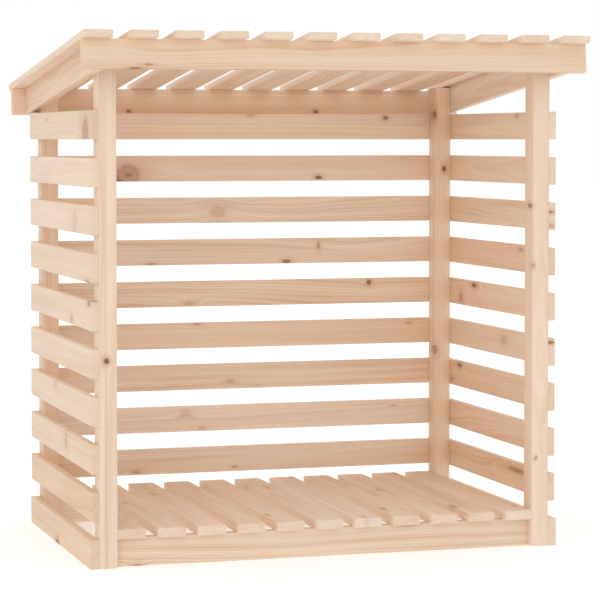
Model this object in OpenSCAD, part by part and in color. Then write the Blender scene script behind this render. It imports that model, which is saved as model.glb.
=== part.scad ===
// Slatted log store: an open timber frame with slatted sides and back, a slatted floor on rails
// and a slatted roof that falls to the back. The open front faces -Y, X runs to the right and
// Z is up. The origin is on the ground, under the middle of the whole store.

/* [Frame] */
// Width over the outer faces of the posts
frame_w = 982; // [760:1:1300]
// Depth over the front and rear faces of the posts
frame_d = 645; // [450:1:800]
// Width of a post, seen from the front
post_w = 37.5; // [30:0.5:50]
// Depth of a post, from front to back
post_d = 44.5; // [40:0.5:60]

/* [Walls] */
// Number of slats up each side, and up the back
wall_rows = 9; // [6:1:12]
// Height of a wall slat
slat_h = 59; // [45:1:75]
// Thickness of a wall slat
slat_t = 15; // [10:0.5:19]
// Open gap between one wall slat and the next
wall_gap = 38; // [25:1:60]

/* [Base] */
// Height of the rails under the floor and along the ground
rail_h = 59; // [45:1:75]
// Thickness of the rails
rail_t = 19.5; // [15:0.5:22]
// How far the front and rear rails stand back from the faces of the posts
rail_inset = 18.5; // [0:0.5:18.5]
// Number of floor slats
floor_count = 11; // [7:1:12]
// Width of a floor slat
floor_slat_w = 59; // [45:1:60]
// Thickness of a floor slat
floor_slat_t = 19.5; // [12:0.5:25]

/* [Roof] */
// Fall of the roof from front to back, in degrees
roof_pitch = 6.2; // [4:0.1:8]
// Reach of the roof slats past the front faces of the posts, down the slope
roof_front = 101.5; // [80:0.5:140]
// Reach of the roof slats past the rear faces of the posts, down the slope
roof_rear = 94.5; // [80:0.5:130]
// Reach of the roof past the outer faces of the posts at each side
roof_side = 49; // [25:0.5:80]
// Number of roof slats
roof_count = 12; // [8:1:12]
// Width of a roof slat
roof_slat_w = 59; // [45:1:62]
// Thickness of a roof slat
roof_slat_t = 14.5; // [10:0.5:20]
// Height of the rafters and fascia boards, square to the roof
rafter_h = 59; // [45:1:75]
// Thickness of the rafters and fascia boards
rafter_t = 19.5; // [15:0.5:22]
// How far the roof slats overhang the fascia board at each end
slat_overhang = 25; // [10:0.5:30]
// Space between the top side slat and the rafter over its rear end
rafter_gap = 1.5; // [0.5:0.5:20]

/* [Hidden] */
wood = [0.91, 0.80, 0.67];
end_wood = [0.86, 0.74, 0.60];

// Heights, counted in rows of slats up from the rail on the ground
row_pitch = slat_h + wall_gap;
function row_z(row) = rail_h + wall_gap + (row - 1) * row_pitch;
wall_top = row_z(wall_rows) + slat_h;

// Side slats run on past the posts and cover the ends of the back slats
side_slat_l = frame_d + slat_t;
inner_w = frame_w - 2 * post_w;

// The underside of the roof slats is a plane; roof_z is its height over the front of the posts
roof_z = wall_top + rafter_gap + rafter_h / cos(roof_pitch) + side_slat_l * tan(roof_pitch);
roof_w = frame_w + 2 * roof_side;
roof_rear_end = -frame_d / cos(roof_pitch) - roof_rear;
roof_slat_l = roof_front - roof_rear_end;
front_fascia_s = roof_front - slat_overhang;
rear_fascia_s = roof_rear_end + slat_overhang;
rafter_l = front_fascia_s - rear_fascia_s - 2 * rafter_t;

// Y of the posts' front faces, which puts the origin under the middle of the roof's two ends
roof_front_y = -roof_front * cos(roof_pitch);
roof_rear_y = -roof_rear_end * cos(roof_pitch) + roof_slat_t * sin(roof_pitch);
front_y = -(roof_front_y + roof_rear_y) / 2;

// Names of the wall slats, row 1 being the lowest
function slats(side) = [for (row = [1 : wall_rows]) str(side, "_slat_", row)];

// A square-cut board with its low corner at the given place, measured back from the posts' front
module board(corner, size, tint = wood) {
    color(tint) translate([0, front_y, 0]) translate(corner) cube(size);
}

// Post whose square top meets the roof slats along its rear edge
module post(x, y) {
    board([x, y, 0], [post_w, post_d, roof_z - (y + post_d) * tan(roof_pitch)]);
}

module front_left_post() { post(-frame_w / 2, 0); }
module front_right_post() { post(frame_w / 2 - post_w, 0); }
module rear_left_post() { post(-frame_w / 2, frame_d - post_d); }
module rear_right_post() { post(frame_w / 2 - post_w, frame_d - post_d); }

// Rail between two posts, under the ends of the floor slats
module cross_rail(y) { board([-inner_w / 2, y, 0], [inner_w, rail_t, rail_h]); }

module front_bottom_rail() { cross_rail(rail_inset); }
module rear_bottom_rail() { cross_rail(frame_d - rail_inset - rail_t); }

// Rail along the ground on the outside of the posts
module side_rail(x) { board([x, 0, 0], [rail_t, frame_d, rail_h]); }

module left_bottom_rail() { side_rail(-frame_w / 2 - rail_t); }
module right_bottom_rail() { side_rail(frame_w / 2); }

// Floor slats run front to back on the cross rails and fill the width between the posts
module floor_slats() {
    floor_pitch = (inner_w - floor_slat_w) / (floor_count - 1);
    for (i = [0 : floor_count - 1])
        board([-inner_w / 2 + i * floor_pitch, 0, rail_h], [floor_slat_w, frame_d, floor_slat_t]);
}

module left_slat(row) { board([-frame_w / 2 - slat_t, 0, row_z(row)], [slat_t, side_slat_l, slat_h]); }
module right_slat(row) { board([frame_w / 2, 0, row_z(row)], [slat_t, side_slat_l, slat_h]); }
module back_slat(row) { board([-frame_w / 2, frame_d, row_z(row)], [frame_w, slat_t, slat_h]); }

// Roof frame of reference: Y runs up the slope to the front of the posts, Z is square to the roof
module on_roof() {
    translate([0, front_y, roof_z]) rotate([-roof_pitch, 0, 0]) mirror([0, 1, 0]) children();
}

module rafter(x) {
    color(wood) on_roof()
        translate([x, rear_fascia_s + rafter_t, -rafter_h]) cube([rafter_t, rafter_l, rafter_h]);
}

module left_rafter() { rafter(-frame_w / 2 - rafter_t); }
module right_rafter() { rafter(frame_w / 2); }

module fascia(s) {
    color(end_wood) on_roof() translate([-roof_w / 2, s, -rafter_h]) cube([roof_w, rafter_t, rafter_h]);
}

module front_fascia() { fascia(front_fascia_s - rafter_t); }
module rear_fascia() { fascia(rear_fascia_s); }

// Roof slats run down the slope on the rafters and fascia boards
module roof_slats() {
    roof_slat_pitch = (roof_w - roof_slat_w) / (roof_count - 1);
    color(wood) on_roof() for (i = [0 : roof_count - 1])
        translate([-roof_w / 2 + i * roof_slat_pitch, roof_rear_end, 0])
            cube([roof_slat_w, roof_slat_l, roof_slat_t]);
}

front_left_post();
front_right_post();
rear_left_post();
rear_right_post();
front_bottom_rail();
rear_bottom_rail();
left_bottom_rail();
right_bottom_rail();
floor_slats();
for (row = [1 : wall_rows]) {
    left_slat(row);
    right_slat(row);
    back_slat(row);
}
left_rafter();
right_rafter();
front_fascia();
rear_fascia();
roof_slats();
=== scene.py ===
"""Looks for the slatted log store: planed pine boards with eased edges, their grain, rings and knots."""

import math
import random
from collections import namedtuple

import bpy
from mathutils import Matrix, Vector


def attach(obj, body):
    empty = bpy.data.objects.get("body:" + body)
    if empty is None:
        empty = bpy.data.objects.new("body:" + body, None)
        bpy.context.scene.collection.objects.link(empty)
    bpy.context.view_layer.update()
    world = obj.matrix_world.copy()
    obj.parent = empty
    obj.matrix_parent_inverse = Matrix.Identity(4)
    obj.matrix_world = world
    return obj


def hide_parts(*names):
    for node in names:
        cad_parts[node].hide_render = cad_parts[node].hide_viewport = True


X, Y, Z = 0, 1, 2

# How a planer and a saw leave a board, in metres
EASED_EDGE = 0.0010
EASED_END = 0.0005
EASED_EDGE_STEPS = 3
EASED_END_STEPS = 2
SMOOTH_ANGLE = math.radians(40)

# Points this near each other, in metres, are one
SAME_PLACE = 0.00001
SAME_BOARD = 0.0001

# How a board is cut from the log, in metres: how far its middle lies from the heart, across it and
# through it, and how far along the log it may start
HEART_ACROSS = 0.085
HEART_NEAR, HEART_FAR = 0.015, 0.12
LOG_LENGTH = 90.0

# How far boards differ from each other in the depth of their colour and in rosiness
DEPTH_SPREAD = 0.10
ROSINESS_SPREAD = 0.25

# Colours of the timber, linear
EARLY_WOOD = (0.888, 0.718, 0.554, 1)
LATE_WOOD = (0.735, 0.475, 0.300, 1)
ROSY_WOOD = (0.830, 0.575, 0.415, 1)
KNOT_HALO = (0.520, 0.265, 0.130, 1)
KNOT_PALE = (0.540, 0.235, 0.115, 1)
KNOT_DARK = (0.190, 0.066, 0.030, 1)
END_GRAIN = (0.715, 0.505, 0.330, 1)
RED_STREAK = (0.790, 0.490, 0.330, 1)
WHITE = (1, 1, 1, 1)

# Growth rings: the width of one and how far they wander, in metres, how far they close in along a
# metre of log, and how unlike the years are
RING_WIDTH = 0.0036
RING_WANDER = 0.013
LOG_TAPER = 0.007
YEAR_SWING = 1.3

# Smooth steps: where each starts and ends and, where it isn't from 0 to 1, its height there. Late
# wood darkens slowly through a year and stops short. Here and there its lines fade, and runs of
# years are dark.
LATE_RISE = (0.30, 0.88)
LATE_FALL = (0.90, 1.0, 1.0, 0.0)
LATE_FADE = (0.30, 0.70, 0.30, 1.0)
DARK_YEARS = (0.38, 0.62)
ROSY_PATCHES = (0.42, 0.72)

# Features in a metre, along the board, across it and through it
WANDER_GRAIN = (1.8, 8, 8)
FADE_GRAIN = (2.2, 26, 26)
STREAK_GRAIN = (2.5, 12, 12)
ROSY_GRAIN = (0.9, 34, 34)
CLOUD_GRAIN = (1.6, 14, 14)
FIBRE_GRAIN = (9, 620, 620)
KNOT_GRAIN = (260, 260, 60)

# Features in a metre out from the heart of the log
YEAR_GRAIN = (70, 1, 1)
DARK_YEAR_GRAIN = (115, 1, 1)

# Finer and finer layers in a noise
FEW_LAYERS, SOME_LAYERS, MANY_LAYERS = 1.0, 2.0, 3.0

# How strongly each colour shows
LATE_SHARE = 0.40
DARK_YEAR_SHARE = 0.40
ROSY_SHARE = 0.45
HALO_SHARE = 0.42
END_SHARE = 0.15
FIBRE_SHADE = 0.075
CLOUD_SHADE = 0.085

# The planed surface: how rough it is, how that changes, and its relief, whose depth is in metres
ROUGHNESS = 0.60
FIBRE_ROUGHNESS = 0.08
LATE_SMOOTHNESS = 0.06
KNOT_SMOOTHNESS = 0.12
SPECULAR = 0.35
FIBRE_RELIEF = 0.5
LATE_RELIEF = 0.35
RELIEF_STRENGTH = 0.35
RELIEF_DEPTH = 0.0004

# A knot: how its shape runs along the board and into it, how uneven its rim is, its own rings, and
# where its core, dark heart and halo end and begin, in shares of its radius
KNOT_ALONG = 0.72
KNOT_DEEP = 0.30
KNOT_RIM = 0.30
KNOT_RINGS = 16.0
KNOT_RING_SHADE = 0.12
CORE_EDGE = (1.2, 0.6)
DARK_EDGE = (1.3, 0.9)
HALO_EDGE = (3.0, 0.9)

# The least that a knot does, and how much more a dark one does: its core, its halo, and its push on
# the rings, which falls off with distance
CORE_LEAST, CORE_MORE = 0.42, 0.46
HALO_LEAST, HALO_MORE = 0.35, 0.65
PUSH_LEAST, PUSH_MORE = 0.5, 0.9
PUSH_FALL = -0.16

# Knots on a board with none of its own in the table: how many, how far from the board's ends and
# sides, radius in millimetres, and darkness
KNOT_COUNTS = (0, 1, 1, 2, 2, 3)
KNOT_SPAN = (0.05, 0.95)
KNOT_SPREAD = (-0.95, 0.95)
KNOT_RADII = (2.5, 5.0)
KNOT_DARKNESS = (0.0, 0.9)
MILLIMETRES = 1000

# Camera and light, in metres, watts and, for the lens and its film, millimetres
CAMERA_PLACE = (-1.5205, -5.0846, 0.8731)
CAMERA_TURN = math.radians(16.98)
CAMERA_TILT = math.radians(2.68)
CAMERA_LENS = 144.5
CAMERA_FILM = 36
CAMERA_SHIFT = -0.08
SKY_LIGHT = 0.93
KEY_PLACE = (-3.0, -5.0, 2.1)
KEY_AIM = (0, 0, 0.5)
KEY_SIZE = 3.2
KEY_POWER = 22
FLOOR_SIZE = 60
FLOOR_GREY = 0.90
FLOOR_ROUGHNESS = 0.9
FLOOR_LIFT = 0.28

Knot = namedtuple("Knot", "along across radius dark stretch sunk", defaults=(1.0, 0.0))
NO_KNOT = Knot(-50.0, 0.0, 1.0, 0.0)
KNOT_PLACES = ("knot_1", "knot_2", "knot_3", "knot_4")

# Knots that a board shows: share of its length from the low end, share of its half width from the
# middle, radius in millimetres, darkness, how far it is drawn out across the board, and how far it
# is sunk into it. One of darkness -1 is buried: it shows only where the rings swing round it.
KNOTS = {
    "front_left_post_1": [Knot(0.40, -0.15, 4.8, 1.0, 1.25)],
    "front_right_post_1": [
        Knot(0.18, -0.5, 3.5, 0.4),
        Knot(0.57, -0.85, 4.0, 0.2),
        Knot(0.69, -1.0, 3.5, 0.7, 1.0, 0.35),
    ],
    "rear_right_post_1": [
        Knot(0.937, -1.2, 10, 0.9, 0.6),
        Knot(0.808, 0.15, 5, 0.95),
        Knot(0.375, -1.1, 9, 0.4),
    ],
    "front_bottom_rail_1": [Knot(0.05, -1.0, 7, 0.4, 0.6), Knot(0.70, 0.9, 12, 0.1, 0.2)],
    "left_bottom_rail_1": [Knot(0.53, -0.9, 12, 0.7, 0.5)],
    "floor_slats_2": [Knot(0.55, -0.6, 12, 0.1, 0.5)],
    "floor_slats_3": [Knot(0.72, -0.45, 12, 0.2, 0.45)],
    "floor_slats_4": [Knot(0.55, 0.25, 12, -0.3, 0.5)],
    "floor_slats_5": [Knot(0.16, -0.75, 9, 0.3, 0.45)],
    "floor_slats_6": [Knot(0.77, 0.25, 14, 0.1, 0.4), Knot(0.84, -0.9, 12, -0.35, 0.45)],
    "floor_slats_7": [Knot(0.985, 0.7, 11, 0.75, 0.5), Knot(0.03, -0.1, 8, 0.2, 0.5)],
    "floor_slats_8": [Knot(0.17, -0.5, 13, 0.2, 0.45)],
    "floor_slats_9": [Knot(0.59, -0.55, 13, 0.2, 0.45)],
    "floor_slats_10": [Knot(0.16, -0.85, 9, 0.6, 0.45), Knot(0.96, 0.7, 10, 0.3, 0.5)],
    "left_slat_9_1": [Knot(0.08, -0.6, 25, 0.15, 1.4), Knot(0.70, 0.45, 12, -0.3, 0.4)],
    "left_slat_8_1": [Knot(0.72, -0.3, 40, -0.8, 0.6)],
    "left_slat_7_1": [Knot(0.25, -0.3, 20, -0.4, 1.6)],
    "left_slat_6_1": [Knot(0.06, -1.0, 14, 0.6, 0.3)],
    "left_slat_5_1": [Knot(0.04, 0.85, 10, 0.4, 0.6), Knot(0.30, -0.6, 10, 0.1, 0.8)],
    "left_slat_4_1": [],
    "left_slat_3_1": [Knot(0.57, 0.8, 14, -0.4)],
    "left_slat_2_1": [Knot(0.40, 0.3, 12, -0.2, 1.5)],
    "left_slat_1_1": [],
    "right_slat_9_1": [Knot(0.28, 0.75, 9, 0.1, 0.7)],
    "right_slat_8_1": [],
    "right_slat_7_1": [Knot(0.0, 0.3, 4, 0.6), Knot(0.0, -0.7, 4, 0.2)],
    "right_slat_6_1": [Knot(0.24, 0.65, 10, 0.2, 0.4)],
    "right_slat_5_1": [Knot(0.67, 0.7, 11, 0.9, 0.5), Knot(0.80, -0.4, 10, 0.2, 1.2)],
    "right_slat_4_1": [Knot(0.39, 0.15, 16, 0.0, 0.7), Knot(0.0, 0.7, 4.5, 0.8)],
    "right_slat_3_1": [Knot(0.81, 0.7, 10, 0.85, 0.5), Knot(0.89, -0.5, 8, 0.2, 0.4)],
    "right_slat_2_1": [],
    "right_slat_1_1": [Knot(0.27, 0.45, 36, 0.3, 0.16)],
    "back_slat_9_1": [Knot(0.85, 0.72, 5, 0.85), Knot(0.51, 0.9, 9, 0.0, 0.5)],
    "back_slat_8_1": [
        Knot(0.213, -0.45, 24, 0.4, 1.1),
        Knot(0.213, -0.5, 4, 0.9),
        Knot(0.19, -0.92, 8, 0.8, 0.5),
        Knot(0.68, -0.75, 6, 1.0, 0.8),
    ],
    "back_slat_7_1": [Knot(0.43, -0.15, 15, 0.0)],
    "back_slat_6_1": [
        Knot(0.27, -0.9, 9, 0.4, 0.35),
        Knot(0.60, -0.85, 8, 0.95, 0.65),
        Knot(0.68, 0.4, 3.5, 0.5, 3.0),
        Knot(0.76, 0.2, 45, -0.95, 0.8),
    ],
    "back_slat_5_1": [Knot(0.808, 0.65, 4.5, 0.9, 1.4), Knot(0.36, -0.75, 9, 0.0, 0.6)],
    "back_slat_4_1": [Knot(0.38, 0.95, 8, 0.1, 0.6), Knot(0.91, 0.6, 6, 0.2, 0.5)],
    "back_slat_3_1": [Knot(0.46, -0.4, 8, 0.0, 0.7)],
    "back_slat_2_1": [
        Knot(0.35, 0.5, 10, 0.0),
        Knot(0.39, -0.75, 8, 0.1, 0.6),
        Knot(0.87, 0.5, 5, 0.2, 0.6),
    ],
    "back_slat_1_1": [
        Knot(0.23, -0.75, 8, 0.2, 0.6),
        Knot(0.47, -0.65, 5, 0.4, 0.6),
        Knot(0.64, 0.9, 40, -0.95, 0.7),
    ],
    "front_fascia_1": [Knot(0.125, -0.75, 6, 0.3, 0.4), Knot(0.10, -1.0, 10, 0.5, 0.25)],
    "rear_fascia_1": [Knot(0.25, -0.75, 4, 0.8), Knot(0.67, -0.75, 4.5, 0.8)],
}

# Red streaks along a board: share of its half width from the middle, reach to either side in
# millimetres, and strength at the low and the high end. They waver by about their own reach.
STREAK_WAVER = 0.9
Streak = namedtuple("Streak", "across reach low high")
NO_STREAK = Streak(0.0, 1.0, 0.0, 0.0)
STREAKS = {
    "front_left_post_1": Streak(-0.22, 3.0, 0.90, 0.20),
    "rear_fascia_1": Streak(-0.60, 11.0, 0.35, 0.35),
}

# Boards, or whole nodes, with a look of their own: how deep their colour is, how rosy, how strongly
# their rings show, and how far the heart of the log lies from their middle, across them, in metres
Wood = namedtuple("Wood", "depth rosiness rings heart", defaults=(1.0, None))
WOODS = {
    "front_left_post_1": Wood(0.0, -0.05),
    "front_right_post_1": Wood(0.05, -0.13, 0.8),
    "rear_left_post_1": Wood(0.12, 0.15, 0.9),
    "front_bottom_rail_1": Wood(0.13, -0.05, 1.3, 0.07),
    "left_bottom_rail_1": Wood(0.33, -0.1, 0.7),
    "floor_slats_7": Wood(-0.12, -0.05),
    "left_slat_9_1": Wood(0.19, -0.2, 0.45),
    "left_slat_8_1": Wood(0.02, -0.15, 0.4),
    "left_slat_7_1": Wood(-0.05, 0.2, 0.5),
    "left_slat_6_1": Wood(0.0, 0.2, 0.5),
    "left_slat_5_1": Wood(0.07, 0.1, 0.5),
    "left_slat_4_1": Wood(0.06, -0.1, 0.6),
    "left_slat_3_1": Wood(0.10, -0.2, 0.5),
    "left_slat_2_1": Wood(0.17, -0.05, 0.6),
    "left_slat_1_1": Wood(0.46, -0.1, 0.6),
    "right_slat_9_1": Wood(-0.08, -0.05),
    "right_slat_3_1": Wood(0.10, 0.09, 1.3),
    "right_slat_1_1": Wood(0.20, 0.0, 1.3),
    "back_slat_7_1": Wood(-0.16, -0.18, 1.7),
    "back_slat_6_1": Wood(-0.19, -0.10, 2.2),
    "back_slat_5_1": Wood(-0.05, -0.15, 1.8),
    "back_slat_3_1": Wood(-0.04, 0.0, 1.2),
    "back_slat_2_1": Wood(-0.29, -0.12, 1.2),
    "back_slat_1_1": Wood(-0.14, -0.08, 1.4),
    "left_rafter_1": Wood(0.25, 0.0, 0.9),
    "right_rafter_1": Wood(-0.14, -0.05),
    "front_fascia_1": Wood(0.22, 0.0),
    "rear_fascia_1": Wood(0.08, 0.0, 1.3),
    "roof_slats": Wood(-0.08, -0.12),
}


def wire(tree, socket, value):
    """Feeds a socket from another one, or sets its own value."""
    if isinstance(value, bpy.types.NodeSocket):
        tree.links.new(value, socket)
    else:
        socket.default_value = value


def work(tree, operation, *values):
    """One sum on numbers."""
    node = tree.nodes.new("ShaderNodeMath")
    node.operation = operation
    for socket, value in zip(node.inputs, values):
        wire(tree, socket, value)
    return node.outputs["Value"]


def vector_work(tree, operation, *values):
    """One sum on vectors."""
    node = tree.nodes.new("ShaderNodeVectorMath")
    node.operation = operation
    for socket, value in zip(node.inputs, values):
        wire(tree, socket, value)
    return node.outputs["Value" if operation == "LENGTH" else "Vector"]


def split(tree, vector):
    """The three parts of a vector."""
    node = tree.nodes.new("ShaderNodeSeparateXYZ")
    wire(tree, node.inputs[0], vector)
    return node.outputs


def joined(tree, x, y, z):
    """A vector of three numbers."""
    node = tree.nodes.new("ShaderNodeCombineXYZ")
    for socket, value in zip(node.inputs, (x, y, z)):
        wire(tree, socket, value)
    return node.outputs[0]


def ramp(tree, value, start, end, low=0.0, high=1.0):
    """A smooth step from low at start to high at end."""
    node = tree.nodes.new("ShaderNodeMapRange")
    node.interpolation_type = "SMOOTHSTEP"
    settings = (value, start, end, low, high)
    for socket, setting in zip(node.inputs, settings):
        wire(tree, socket, setting)
    return node.outputs["Result"]


def noise(tree, place, stretch, layers=SOME_LAYERS):
    """Noise from 0 to 1, with as many features in a metre along each way as stretch says."""
    node = tree.nodes.new("ShaderNodeTexNoise")
    node.inputs["Scale"].default_value = 1.0
    node.inputs["Detail"].default_value = layers
    wire(tree, node.inputs["Vector"], vector_work(tree, "MULTIPLY", place, stretch))
    return node.outputs["Fac"]


def swing(tree, value, reach):
    """Turns noise from 0 to 1 into a swing to either side of nothing."""
    return work(tree, "MULTIPLY", work(tree, "SUBTRACT", value, 0.5), 2 * reach)


def blend_colour(tree, share, first, second):
    """Mixes two colours."""
    node = tree.nodes.new("ShaderNodeMix")
    node.data_type = "RGBA"
    wire(tree, node.inputs["Factor"], share)
    wire(tree, [s for s in node.inputs if s.name == "A" and s.type == "RGBA"][0], first)
    wire(tree, [s for s in node.inputs if s.name == "B" and s.type == "RGBA"][0], second)
    return [s for s in node.outputs if s.type == "RGBA"][0]


def attribute(tree, name):
    """Reads what put() wrote on the mesh."""
    node = tree.nodes.new("ShaderNodeAttribute")
    node.attribute_name = name
    return node.outputs["Vector"]


def least_and_more(tree, least, more, dark):
    """What a knot does, from the least it does and how much more a dark one does."""
    return work(tree, "ADD", least, work(tree, "MULTIPLY", dark, more))


def knot_group():
    """One knot: how far it colours a place, as core, dark heart and halo, and its push on the rings."""
    tree = bpy.data.node_groups.new("knot", "ShaderNodeTree")
    for name in ("Grain", "Place", "Kind"):
        tree.interface.new_socket(name, in_out="INPUT", socket_type="NodeSocketVector")
    for name in ("Core", "Dark", "Halo", "Bulge"):
        tree.interface.new_socket(name, in_out="OUTPUT", socket_type="NodeSocketFloat")
    inside = tree.nodes.new("NodeGroupInput")
    outside = tree.nodes.new("NodeGroupOutput")
    grain = inside.outputs["Grain"]
    radius, dark, stretch = split(tree, inside.outputs["Kind"])[:3]

    along, across, deep = split(tree, vector_work(tree, "SUBTRACT", grain, inside.outputs["Place"]))[:3]
    along = work(tree, "MULTIPLY", along, KNOT_ALONG)
    across = work(tree, "DIVIDE", across, stretch)
    deep = work(tree, "MULTIPLY", deep, KNOT_DEEP)
    away = vector_work(tree, "LENGTH", joined(tree, along, across, deep))
    rim = swing(tree, noise(tree, grain, KNOT_GRAIN, MANY_LAYERS), KNOT_RIM)
    share = work(tree, "ADD", work(tree, "DIVIDE", away, radius), rim)

    seen = work(tree, "MINIMUM", work(tree, "ADD", dark, 1.0), 1.0)
    rings = work(tree, "SINE", work(tree, "MULTIPLY", share, KNOT_RINGS))
    rings = work(tree, "MULTIPLY", work(tree, "MULTIPLY", rings, KNOT_RING_SHADE), seen)
    core = work(tree, "SUBTRACT", least_and_more(tree, CORE_LEAST, CORE_MORE, dark), rings)
    halo = least_and_more(tree, HALO_LEAST, HALO_MORE, dark)
    push = work(tree, "MULTIPLY", radius, least_and_more(tree, PUSH_LEAST, PUSH_MORE, dark))
    falling = work(tree, "MULTIPLY", work(tree, "POWER", share, 2.0), PUSH_FALL)
    falling = work(tree, "EXPONENT", falling)

    wire(tree, outside.inputs["Core"], work(tree, "MULTIPLY", ramp(tree, share, *CORE_EDGE), core))
    wire(tree, outside.inputs["Dark"], work(tree, "MULTIPLY", ramp(tree, share, *DARK_EDGE), dark))
    wire(tree, outside.inputs["Halo"], work(tree, "MULTIPLY", ramp(tree, share, *HALO_EDGE), halo))
    wire(tree, outside.inputs["Bulge"], work(tree, "MULTIPLY", falling, push))
    return tree


def knots(tree, grain):
    """The strongest core, dark and halo of a board's knots, and the sum of their bulges."""
    group = knot_group()
    core = dark = halo = bulge = 0.0
    for name in KNOT_PLACES:
        node = tree.nodes.new("ShaderNodeGroup")
        node.node_tree = group
        wire(tree, node.inputs["Grain"], grain)
        wire(tree, node.inputs["Place"], attribute(tree, name))
        wire(tree, node.inputs["Kind"], attribute(tree, name + "_kind"))
        core = work(tree, "MAXIMUM", node.outputs["Core"], core)
        dark = work(tree, "MAXIMUM", node.outputs["Dark"], dark)
        halo = work(tree, "MAXIMUM", node.outputs["Halo"], halo)
        bulge = work(tree, "ADD", node.outputs["Bulge"], bulge)
    return core, dark, halo, bulge


def growth_rings(tree, grain, bulge):
    """Dark late wood, ring after ring out from the heart, and the runs of years that are darker."""
    along, across, deep = split(tree, grain)[:3]
    radius = vector_work(tree, "LENGTH", joined(tree, 0.0, across, deep))
    radius = work(tree, "ADD", radius, swing(tree, noise(tree, grain, WANDER_GRAIN), RING_WANDER))
    taper = work(tree, "MULTIPLY", along, LOG_TAPER)
    radius = work(tree, "ADD", radius, work(tree, "ADD", taper, bulge))
    outward = joined(tree, radius, 0.0, 0.0)
    years = swing(tree, noise(tree, outward, YEAR_GRAIN, FEW_LAYERS), YEAR_SWING)
    ring = work(tree, "FRACT", work(tree, "ADD", work(tree, "DIVIDE", radius, RING_WIDTH), years))
    late = work(tree, "MULTIPLY", ramp(tree, ring, *LATE_RISE), ramp(tree, ring, *LATE_FALL))
    dark_years = ramp(tree, noise(tree, outward, DARK_YEAR_GRAIN, FEW_LAYERS), *DARK_YEARS)
    fade = ramp(tree, noise(tree, grain, FADE_GRAIN, FEW_LAYERS), *LATE_FADE)
    return work(tree, "MULTIPLY", late, fade), work(tree, "MULTIPLY", dark_years, fade)


def red_streak(tree, grain):
    """A soft red streak that runs the length of a board."""
    middle, reach, strength = split(tree, attribute(tree, "streak"))[:3]
    away = work(tree, "DIVIDE", work(tree, "SUBTRACT", split(tree, grain)["Y"], middle), reach)
    away = work(tree, "ADD", away, swing(tree, noise(tree, grain, STREAK_GRAIN), STREAK_WAVER))
    band = work(tree, "EXPONENT", work(tree, "MULTIPLY", work(tree, "POWER", away, 2.0), -1.0))
    return work(tree, "MULTIPLY", band, strength)


def pine():
    """Planed pine that is new and untreated: rings, fibres, rosy streaks, knots and end grain."""
    material = bpy.data.materials.new("pine")
    material.use_nodes = True
    tree = material.node_tree
    shader = tree.nodes["Principled BSDF"]
    grain = attribute(tree, "grain")
    depth, rosiness, end = split(tree, attribute(tree, "cut"))[:3]
    figure = split(tree, attribute(tree, "figure"))["X"]
    core, dark, halo, bulge = knots(tree, grain)
    late, dark_years = growth_rings(tree, grain, bulge)
    fibre = noise(tree, grain, FIBRE_GRAIN, MANY_LAYERS)

    rings = work(tree, "MULTIPLY", late, LATE_SHARE)
    rings = work(tree, "ADD", rings, work(tree, "MULTIPLY", dark_years, DARK_YEAR_SHARE))
    patches = ramp(tree, noise(tree, grain, ROSY_GRAIN), *ROSY_PATCHES)
    rosy = work(tree, "ADD", work(tree, "MULTIPLY", patches, ROSY_SHARE), rosiness)
    knot_colour = blend_colour(tree, dark, KNOT_PALE, KNOT_DARK)
    colour = blend_colour(tree, work(tree, "MULTIPLY", rings, figure), EARLY_WOOD, LATE_WOOD)
    colour = blend_colour(tree, work(tree, "MAXIMUM", rosy, 0.0), colour, ROSY_WOOD)
    colour = blend_colour(tree, red_streak(tree, grain), colour, RED_STREAK)
    colour = blend_colour(tree, work(tree, "MULTIPLY", halo, HALO_SHARE), colour, KNOT_HALO)
    colour = blend_colour(tree, work(tree, "MULTIPLY", end, END_SHARE), colour, END_GRAIN)
    colour = blend_colour(tree, core, colour, knot_colour)

    deeper = tree.nodes.new("ShaderNodeGamma")
    wire(tree, deeper.inputs["Color"], colour)
    wire(tree, deeper.inputs["Gamma"], work(tree, "ADD", 1.0, depth))
    clouds = swing(tree, noise(tree, grain, CLOUD_GRAIN, MANY_LAYERS), CLOUD_SHADE)
    shade = work(tree, "ADD", work(tree, "ADD", 1.0, swing(tree, fibre, FIBRE_SHADE)), clouds)
    shades = joined(tree, shade, shade, shade)
    wire(tree, shader.inputs["Base Color"], vector_work(tree, "MULTIPLY", deeper.outputs["Color"], shades))

    rough = work(tree, "ADD", ROUGHNESS, swing(tree, fibre, FIBRE_ROUGHNESS))
    rough = work(tree, "SUBTRACT", rough, work(tree, "MULTIPLY", late, LATE_SMOOTHNESS))
    rough = work(tree, "SUBTRACT", rough, work(tree, "MULTIPLY", core, KNOT_SMOOTHNESS))
    wire(tree, shader.inputs["Roughness"], rough)
    shader.inputs["Specular IOR Level"].default_value = SPECULAR

    relief = work(tree, "MULTIPLY", fibre, FIBRE_RELIEF)
    relief = work(tree, "ADD", relief, work(tree, "MULTIPLY", late, LATE_RELIEF))
    bump = tree.nodes.new("ShaderNodeBump")
    bump.inputs["Strength"].default_value = RELIEF_STRENGTH
    bump.inputs["Distance"].default_value = RELIEF_DEPTH
    wire(tree, bump.inputs["Height"], work(tree, "SUBTRACT", relief, core))
    wire(tree, shader.inputs["Normal"], bump.outputs["Normal"])
    return material


def pick_edges(mesh, wanted):
    """Selects the edges for which wanted says so, and nothing else."""
    for face in mesh.polygons:
        face.select = False
    for vertex in mesh.vertices:
        vertex.select = False
    for edge in mesh.edges:
        edge.select = wanted(edge)


def ease(board, offset, steps, wanted):
    """Rounds the edges that are wanted."""
    pick_edges(board.data, wanted)
    bpy.ops.object.mode_set(mode="EDIT")
    bpy.ops.mesh.select_mode(type="EDGE")
    bpy.ops.mesh.bevel(offset=offset, segments=steps, profile=0.5, affect="EDGES")
    bpy.ops.object.mode_set(mode="OBJECT")


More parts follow.
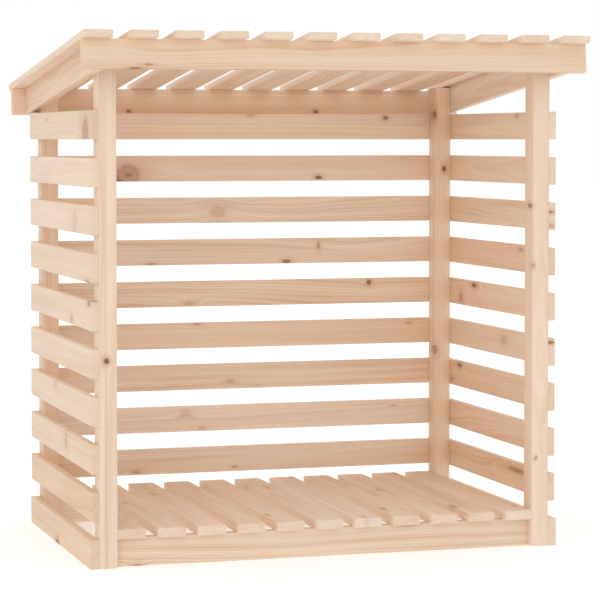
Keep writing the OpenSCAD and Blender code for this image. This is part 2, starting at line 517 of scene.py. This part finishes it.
def choose(thing):
    """Selects one object and nothing else."""
    bpy.ops.object.select_all(action="DESELECT")
    thing.select_set(True)
    bpy.context.view_layer.objects.active = thing


def square_board(size, along):
    """A board from the origin up: long edges eased by the planer, ends crisp from the saw."""
    bpy.ops.object.select_all(action="DESELECT")
    bpy.ops.mesh.primitive_cube_add(size=1, location=size / 2)
    board = bpy.context.object
    board.scale = size
    bpy.ops.object.transform_apply(location=True, rotation=True, scale=True)
    mesh = board.data

    def long_edge(edge):
        a, b = (mesh.vertices[i].co for i in edge.vertices)
        return abs(a[along] - b[along]) > 0.5 * size[along]

    def end_edge(edge):
        a, b = (mesh.vertices[i].co for i in edge.vertices)
        at_end = min(abs(a[along]), abs(a[along] - size[along])) < SAME_PLACE
        return at_end and abs(a[along] - b[along]) < SAME_PLACE

    ease(board, EASED_EDGE, EASED_EDGE_STEPS, long_edge)
    ease(board, EASED_END, EASED_END_STEPS, end_edge)
    return board


def board_between(name, low, high, along):
    """A board from one corner to the other, copied from the one of its size in MODELS."""
    size = high - low
    key = (along, *(round(side, 5) for side in size))
    if key not in MODELS:
        MODELS[key] = square_board(size, along)
    choose(MODELS[key])
    bpy.ops.object.duplicate()
    board = bpy.context.object
    board.name = name
    board.data.transform(Matrix.Translation(low))
    return board


def clear_models():
    """Takes away the boards that the others were copied from."""
    for model in MODELS.values():
        choose(model)
        bpy.ops.object.delete()


def put(mesh, name, values):
    """Writes three numbers for each vertex."""
    layer = mesh.attributes.new(name, "FLOAT_VECTOR", "POINT")
    layer.data.foreach_set("vector", values)


def random_knot(chance):
    """A knot for a board with none of its own in the table."""
    ranges = (KNOT_SPAN, KNOT_SPREAD, KNOT_RADII, KNOT_DARKNESS)
    return Knot(*(chance.uniform(*ends) for ends in ranges))


def cut_from_log(board, low, high, along, face, shown):
    """Gives a board its place in the log, its colour and its knots, for the pine to read.

    The low side along the face axis shows the knots best, or the high one where shown is 1."""
    across = 3 - along - face
    chance = random.Random(board.name)
    start = chance.uniform(0, LOG_LENGTH)
    heart_across = chance.uniform(-HEART_ACROSS, HEART_ACROSS)
    heart_deep = chance.choice((-1, 1)) * chance.uniform(HEART_NEAR, HEART_FAR)
    kind = WOODS.get(board.name.rsplit("_", 1)[0], Wood(0.0, 0.0))
    depth = kind.depth + chance.uniform(-DEPTH_SPREAD, DEPTH_SPREAD)
    rosiness = kind.rosiness + chance.uniform(-ROSINESS_SPREAD, ROSINESS_SPREAD)
    wood = WOODS.get(board.name, Wood(depth, rosiness, kind.rings))
    if wood.heart is not None:
        heart_across = wood.heart
    chosen = KNOTS.get(board.name)
    if chosen is None:
        chosen = [random_knot(chance) for _ in range(chance.choice(KNOT_COUNTS))]
    chosen = chosen + [NO_KNOT] * (len(KNOT_PLACES) - len(chosen))
    streak = STREAKS.get(board.name, NO_STREAK)

    middle = (low + high) / 2
    length = high[along] - low[along]
    half_width = (high[across] - low[across]) / 2
    half_depth = (high[face] - low[face]) / 2
    shown_side = (2 * shown - 1) * half_depth
    streak_middle = heart_across + streak.across * half_width
    grain, cuts, streaks = [], [], []
    for point in (vertex.co for vertex in board.data.vertices):
        travel = point[along] - low[along]
        in_width = heart_across + point[across] - middle[across]
        grain += (start + travel, in_width, heart_deep + point[face] - middle[face])
        at_end = min(travel, length - travel) < EASED_END / 4
        cuts += (wood.depth, wood.rosiness, 1.0 if at_end else 0.0)
        strength = streak.low + (streak.high - streak.low) * travel / length
        streaks += (streak_middle, streak.reach / MILLIMETRES, strength)

    mesh = board.data
    count = len(mesh.vertices)
    put(mesh, "grain", grain)
    put(mesh, "cut", cuts)
    put(mesh, "figure", (wood.rings, 0.0, 0.0) * count)
    put(mesh, "streak", streaks)
    for place, knot in zip(KNOT_PLACES, chosen):
        where = (
            start + knot.along * length,
            heart_across + knot.across * half_width,
            heart_deep + shown_side * (1 - 2 * knot.sunk),
        )
        put(mesh, place, where * count)
        put(mesh, place + "_kind", (knot.radius / MILLIMETRES, knot.dark, knot.stretch) * count)


def corners(node, turn):
    """The corners of a CAD node's boards in a frame turned back by turn, one pair a board.

    The boards of one node lie side by side, so their X edges come in pairs."""
    points = [turn.inverted() @ vertex.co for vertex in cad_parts[node].data.vertices]
    edges = sorted({round(point.x, 4) for point in points})
    found = []
    for left, right in zip(edges[::2], edges[1::2]):
        own = [point for point in points if left - SAME_BOARD < point.x < right + SAME_BOARD]
        low = Vector([min(point[i] for point in own) for i in range(3)])
        high = Vector([max(point[i] for point in own) for i in range(3)])
        found.append((low, high))
    return found


def timber(node, along, face, turn=Matrix(), shown=0):
    """Makes the boards of one CAD node and puts them in its place."""
    boards = []
    for i, (low, high) in enumerate(corners(node, turn)):
        board = board_between(f"{node}_{i + 1}", low, high, along)
        cut_from_log(board, low, high, along, face, shown)
        board.data.transform(turn)
        boards.append(board)
    piece = boards[0]
    choose(piece)
    for board in boards[1:]:
        board.select_set(True)
    if len(boards) > 1:
        bpy.ops.object.join()
    bpy.ops.object.shade_smooth_by_angle(angle=SMOOTH_ANGLE)
    piece.name = f"{node}_board" if len(boards) == 1 else f"{node}_boards"
    piece.data.materials.clear()
    piece.data.materials.append(PINE)
    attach(piece, "root")
    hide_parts(node)


def roof_turn():
    """The roof's slope about X, from the top faces of the roof slats."""
    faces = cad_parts["roof_slats"].data.polygons
    up = max((face.normal for face in faces), key=lambda normal: normal.z)
    return Matrix.Rotation(math.atan2(-up.y, up.z), 4, "X")


def posts():
    """The four uprights."""
    for name in ("front_left", "front_right", "rear_left", "rear_right"):
        timber(f"{name}_post", Z, Y)


def base():
    """The rails on the ground and the slatted floor."""
    timber("front_bottom_rail", X, Y)
    timber("rear_bottom_rail", X, Y)
    timber("left_bottom_rail", Y, X)
    timber("right_bottom_rail", Y, X)
    timber("floor_slats", Y, Z, shown=1)


def walls():
    """The slats on the two sides and across the back."""
    rows = sum(name.startswith("back_slat_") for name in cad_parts)
    for row in range(1, rows + 1):
        timber(f"left_slat_{row}", Y, X)
        timber(f"right_slat_{row}", Y, X)
        timber(f"back_slat_{row}", X, Y)


def roof():
    """The rafters, the fascia boards and the roof slats, all on the slope."""
    turn = roof_turn()
    timber("left_rafter", Y, X, turn)
    timber("right_rafter", Y, X, turn)
    timber("front_fascia", X, Y, turn)
    timber("rear_fascia", X, Y, turn)
    timber("roof_slats", Y, Z, turn)


def camera():
    """The camera, a little to the left of the open front."""
    bpy.ops.object.camera_add(location=CAMERA_PLACE)
    made = bpy.context.object
    made.rotation_euler = (math.pi / 2 - CAMERA_TILT, 0, -CAMERA_TURN)
    made.data.sensor_width = CAMERA_FILM
    made.data.lens = CAMERA_LENS
    made.data.shift_y = CAMERA_SHIFT
    bpy.context.scene.camera = made


def seen_rays(tree):
    """1 for a ray from the camera, off gloss or through glass, and 0 for light."""
    path = tree.nodes.new("ShaderNodeLightPath")
    seen = work(tree, "ADD", path.outputs["Is Camera Ray"], path.outputs["Is Glossy Ray"])
    return work(tree, "MINIMUM", work(tree, "ADD", seen, path.outputs["Is Transmission Ray"]), 1.0)


def studio_sky():
    """An even white sky, above and below."""
    world = bpy.data.worlds.new("studio")
    bpy.context.scene.world = world
    world.use_nodes = True
    tree = world.node_tree
    sky = tree.nodes["Background"]
    sky.inputs["Color"].default_value = WHITE
    wire(tree, sky.inputs["Strength"], work(tree, "MAXIMUM", seen_rays(tree), SKY_LIGHT))


def key_lamp():
    """One large soft lamp, to the left of the camera."""
    bpy.ops.object.light_add(type="AREA", location=KEY_PLACE)
    key = bpy.context.object
    key.data.shape = "DISK"
    key.data.size = KEY_SIZE
    key.data.energy = KEY_POWER
    key.rotation_euler = (Vector(KEY_AIM) - key.location).to_track_quat("-Z", "Y").to_euler()


def studio_floor():
    """A pale floor that shows the shadow, and lets the sky below light the boards."""
    bpy.ops.object.select_all(action="DESELECT")
    bpy.ops.mesh.primitive_plane_add(size=FLOOR_SIZE, location=(0, 0, 0))
    floor = bpy.context.object
    floor.name = "studio_floor"
    paint = bpy.data.materials.new("studio_floor")
    paint.use_nodes = True
    tree = paint.node_tree
    shader = tree.nodes["Principled BSDF"]
    shader.inputs["Base Color"].default_value = (FLOOR_GREY, FLOOR_GREY, FLOOR_GREY, 1)
    shader.inputs["Roughness"].default_value = FLOOR_ROUGHNESS
    shader.inputs["Specular IOR Level"].default_value = 0
    shader.inputs["Emission Color"].default_value = WHITE
    wire(tree, shader.inputs["Emission Strength"], work(tree, "MULTIPLY", seen_rays(tree), FLOOR_LIFT))
    path = tree.nodes.new("ShaderNodeLightPath")
    passing = work(tree, "MAXIMUM", path.outputs["Is Diffuse Ray"], path.outputs["Is Shadow Ray"])
    clear = tree.nodes.new("ShaderNodeBsdfTransparent")
    blend = tree.nodes.new("ShaderNodeMixShader")
    wire(tree, blend.inputs[0], passing)
    wire(tree, blend.inputs[1], shader.outputs[0])
    wire(tree, blend.inputs[2], clear.outputs[0])
    wire(tree, tree.nodes["Material Output"].inputs["Surface"], blend.outputs[0])
    floor.data.materials.append(paint)


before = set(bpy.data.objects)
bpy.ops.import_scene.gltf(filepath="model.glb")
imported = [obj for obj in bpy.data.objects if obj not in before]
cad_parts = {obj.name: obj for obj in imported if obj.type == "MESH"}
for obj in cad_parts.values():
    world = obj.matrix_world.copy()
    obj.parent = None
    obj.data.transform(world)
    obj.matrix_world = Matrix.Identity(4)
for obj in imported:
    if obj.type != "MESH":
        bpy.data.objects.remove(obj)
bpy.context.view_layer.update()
bpy.context.scene.view_settings.view_transform = "Standard"
camera()
studio_sky()
key_lamp()
studio_floor()
PINE = pine()
MODELS = {}
posts()
base()
walls()
roof()
clear_models()
